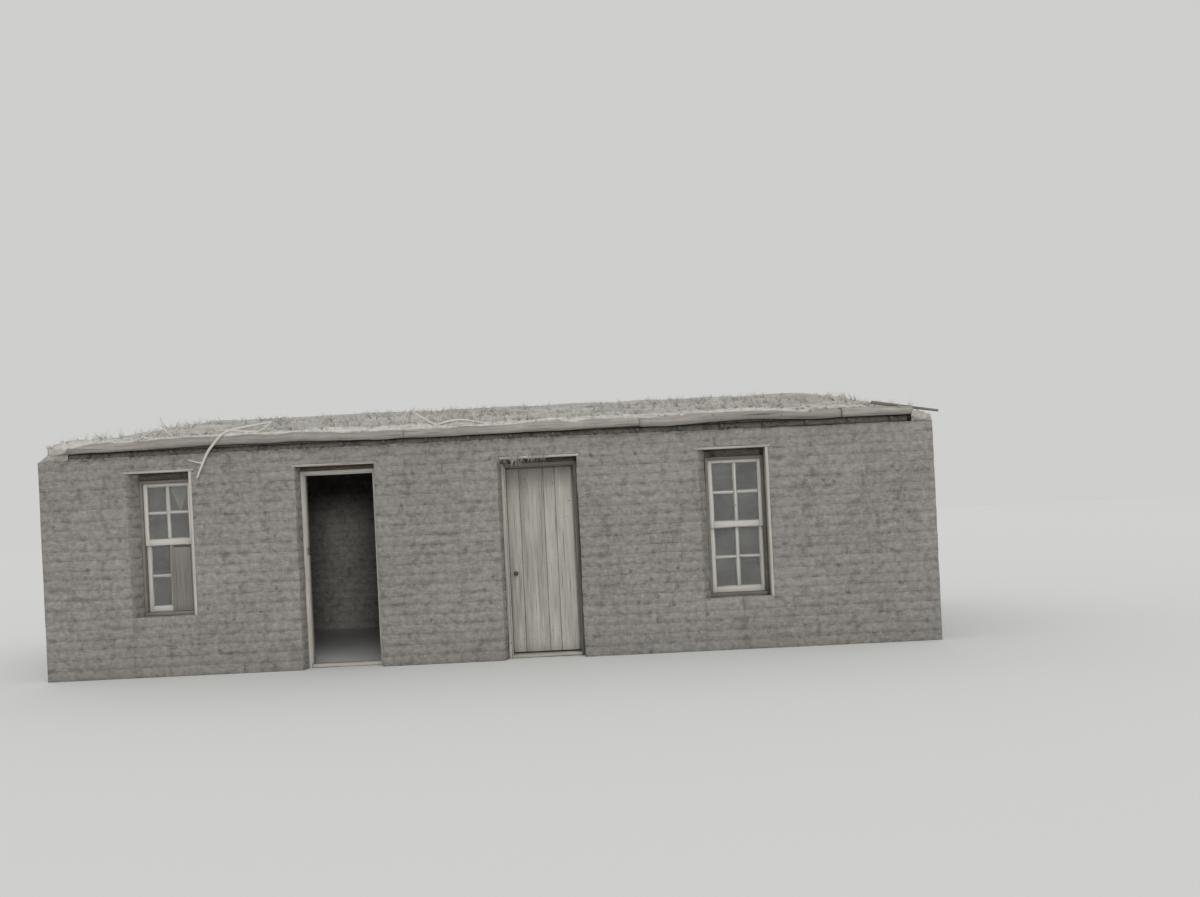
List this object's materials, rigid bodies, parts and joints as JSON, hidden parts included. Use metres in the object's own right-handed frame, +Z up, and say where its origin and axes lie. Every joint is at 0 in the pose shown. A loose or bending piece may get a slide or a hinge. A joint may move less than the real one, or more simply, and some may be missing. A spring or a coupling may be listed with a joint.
{
  "type": "turf house",
  "caption": "Low turf (sod) house with a grassed shed roof on poles, an eave of crooked logs, sash windows, an open doorway and a plank door that swings in.",
  "frame": {"origin": "on the ground under the middle of the house", "axes": "+X along the front wall to the right as seen from the front, +Y from the front wall to the back wall, +Z up"},
  "size_m": [9.2155, 5.1273, 2.9708],
  "materials": {
    "sod": "shaved sod",
    "roof_earth": "dry earth and grass",
    "brush": "brush and straw",
    "log": "weathered peeled log",
    "dead_wood": "bleached dead wood",
    "board": "weathered board",
    "pale_board": "worn pale paint",
    "pane": "old window glass",
    "curtain": "plain cotton",
    "iron": "rusted iron"
  },
  "bodies": {
    "house": {"back_wall": "sod", "bent_limb": "dead_wood", "dry_twigs": "dead_wood", "east_door_frame": "board", "east_door_pintles": "iron", "east_end_wall": "sod", "east_lower_sash": "pale_board", "east_roof_bank": "roof_earth", "east_upper_sash": "pale_board", "east_window_frame": "pale_board", "eave_log_east": "log", "eave_log_east_end": "log", "eave_log_middle": "log", "eave_log_west": "log", "edge_pole": "dead_wood", "front_pier_east": "sod", "front_pier_east_corner": "sod", "front_pier_middle": "sod", "front_pier_west": "sod", "front_pier_west_corner": "sod", "front_top_courses": "sod", "hanging_limb": "dead_wood", "head_packing": "brush", "head_planks": "board", "roof_brush": "brush", "roof_poles": "log", "roof_sod": "roof_earth", "sods_below_east_window": "sod", "sods_below_west_window": "sod", "wall_plates": "board", "west_door_frame": "board", "west_door_keeper": "iron", "west_end_wall": "sod", "west_lower_sash": "pale_board", "west_roof_bank": "roof_earth", "west_upper_sash": "pale_board", "west_window_board": "board", "west_window_curtain": "curtain", "west_window_frame": "pale_board", "window_glass": "pane", "window_linings": "board"},
    "east_door": {"east_door_leaf": "board", "east_door_ledges": "board", "east_door_straps": "iron", "east_door_latch": "iron"}
  },
  "joints": [
    {"name": "east_door_hinge", "type": "hinge", "parent": "house", "child": "east_door", "pos_m": [0.905, -2.113, 1], "axis": [0, 0, -1], "range_deg": [0, 100]}
  ]
}
